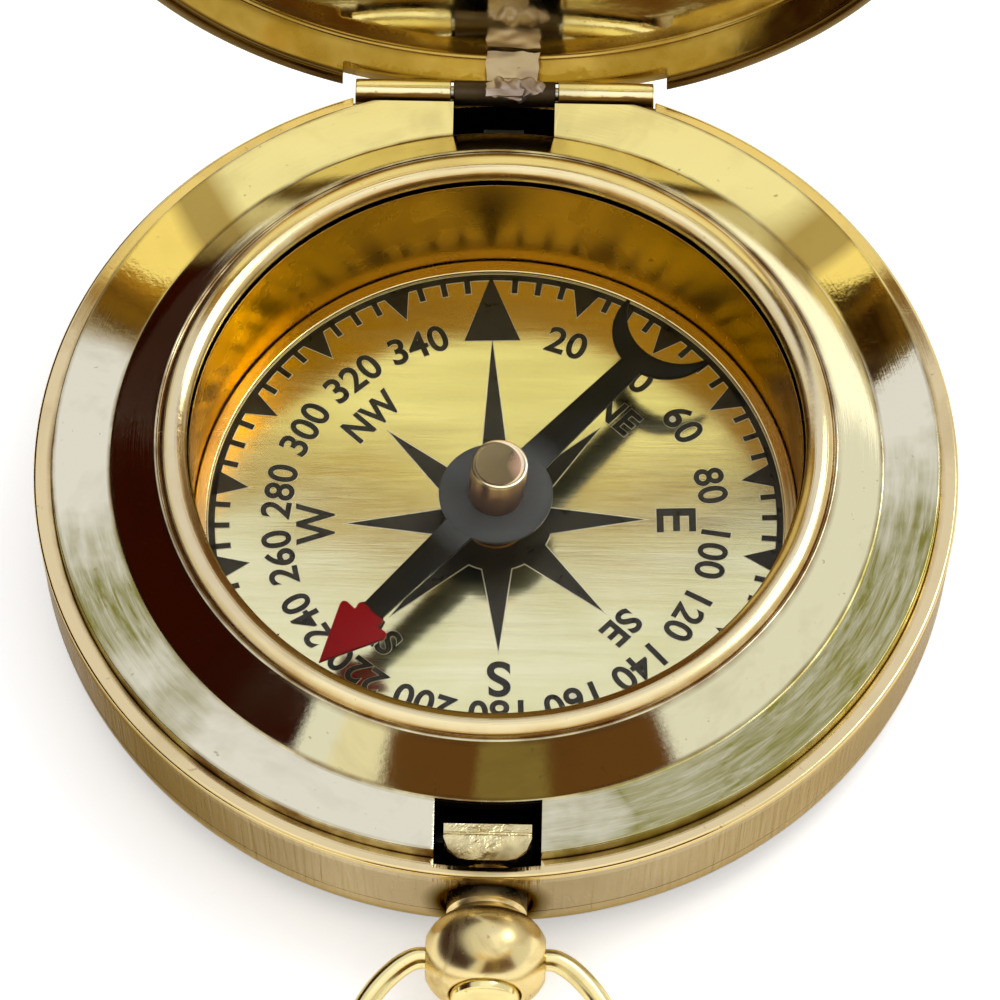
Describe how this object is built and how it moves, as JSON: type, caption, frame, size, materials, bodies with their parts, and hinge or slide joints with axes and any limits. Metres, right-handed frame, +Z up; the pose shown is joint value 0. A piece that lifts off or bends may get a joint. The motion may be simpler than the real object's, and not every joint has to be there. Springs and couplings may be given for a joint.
{
  "type": "pocket compass",
  "caption": "Round brass pocket compass with a sprung hinged lid, push-button catch, swinging bow and a jewelled needle over an engraved dial.",
  "frame": {"origin": "on the case's axis at its flat base", "axes": "+Z up through the dial, +Y towards the lid's hinge, -Y towards the pendant and bow, +X to the right of the dial seen with the hinge at the top"},
  "size_m": [0.05, 0.0742, 0.0568],
  "materials": {
    "polished_brass": "polished, lightly worn and tarnished in the grooves",
    "dial_brass": "brushed, lacquered",
    "turned_brass": "fine turned",
    "blackened_steel": "blackened, with the arrow painted red",
    "steel": "bright drawn",
    "crystal": "clear polished",
    "jewel": "polished"
  },
  "bodies": {
    "case": {"case_body": "polished_brass", "cover_ring": "polished_brass", "compass_cell": "polished_brass", "bezel_ring": "polished_brass", "glass": "crystal", "dial": "dial_brass", "dial_retaining_ring": "dial_brass", "pivot_base": "turned_brass", "pivot_pin": "steel", "hinge_knuckle_left": "polished_brass", "hinge_knuckle_right": "polished_brass", "hinge_pin": "steel", "pendant": "polished_brass", "lift_spring": "steel", "latch_spring": "steel", "spring_screws": "steel"},
    "lid": {"lid_shell": "polished_brass", "lid_knuckle": "polished_brass", "lid_kicker": "polished_brass"},
    "needle": {"needle_blade": "blackened_steel", "needle_cap": "turned_brass", "cap_jewel": "jewel"},
    "button": {"push_button": "polished_brass"},
    "catch": {"latch_catch": "turned_brass"},
    "bow": {"bow": "polished_brass"}
  },
  "joints": [
    {"name": "lid_hinge", "type": "hinge", "parent": "case", "child": "lid", "pos_m": [0, 0.02385, 0.0082], "axis": [1, 0, 0], "range_deg": [0, 96], "stiffness_Nm_per_rad": 0.002, "springref_deg": -22.92, "deforming": ["lift_spring"]},
    {"name": "needle_spin", "type": "hinge", "parent": "case", "child": "needle", "pos_m": [0, 0, 0.0076], "axis": [0, 0, 1], "continuous": true},
    {"name": "button_push", "type": "slide", "parent": "case", "child": "button", "axis": [0, 1, 0], "range_m": [0, 0.0009], "stiffness_N_per_m": 400},
    {"name": "catch_slide", "type": "slide", "parent": "case", "child": "catch", "axis": [0, 1, 0], "range_m": [0, 0.0009], "stiffness_N_per_m": 400, "deforming": ["latch_spring"]},
    {"name": "bow_swing", "type": "hinge", "parent": "case", "child": "bow", "pos_m": [0, -0.0281, 0.00475], "axis": [-1, 0, 0], "range_deg": [-75, 125]}
  ],
  "couplings": [
    {"joint": "catch_slide", "follows": "button_push", "ratio": 1}
  ]
}
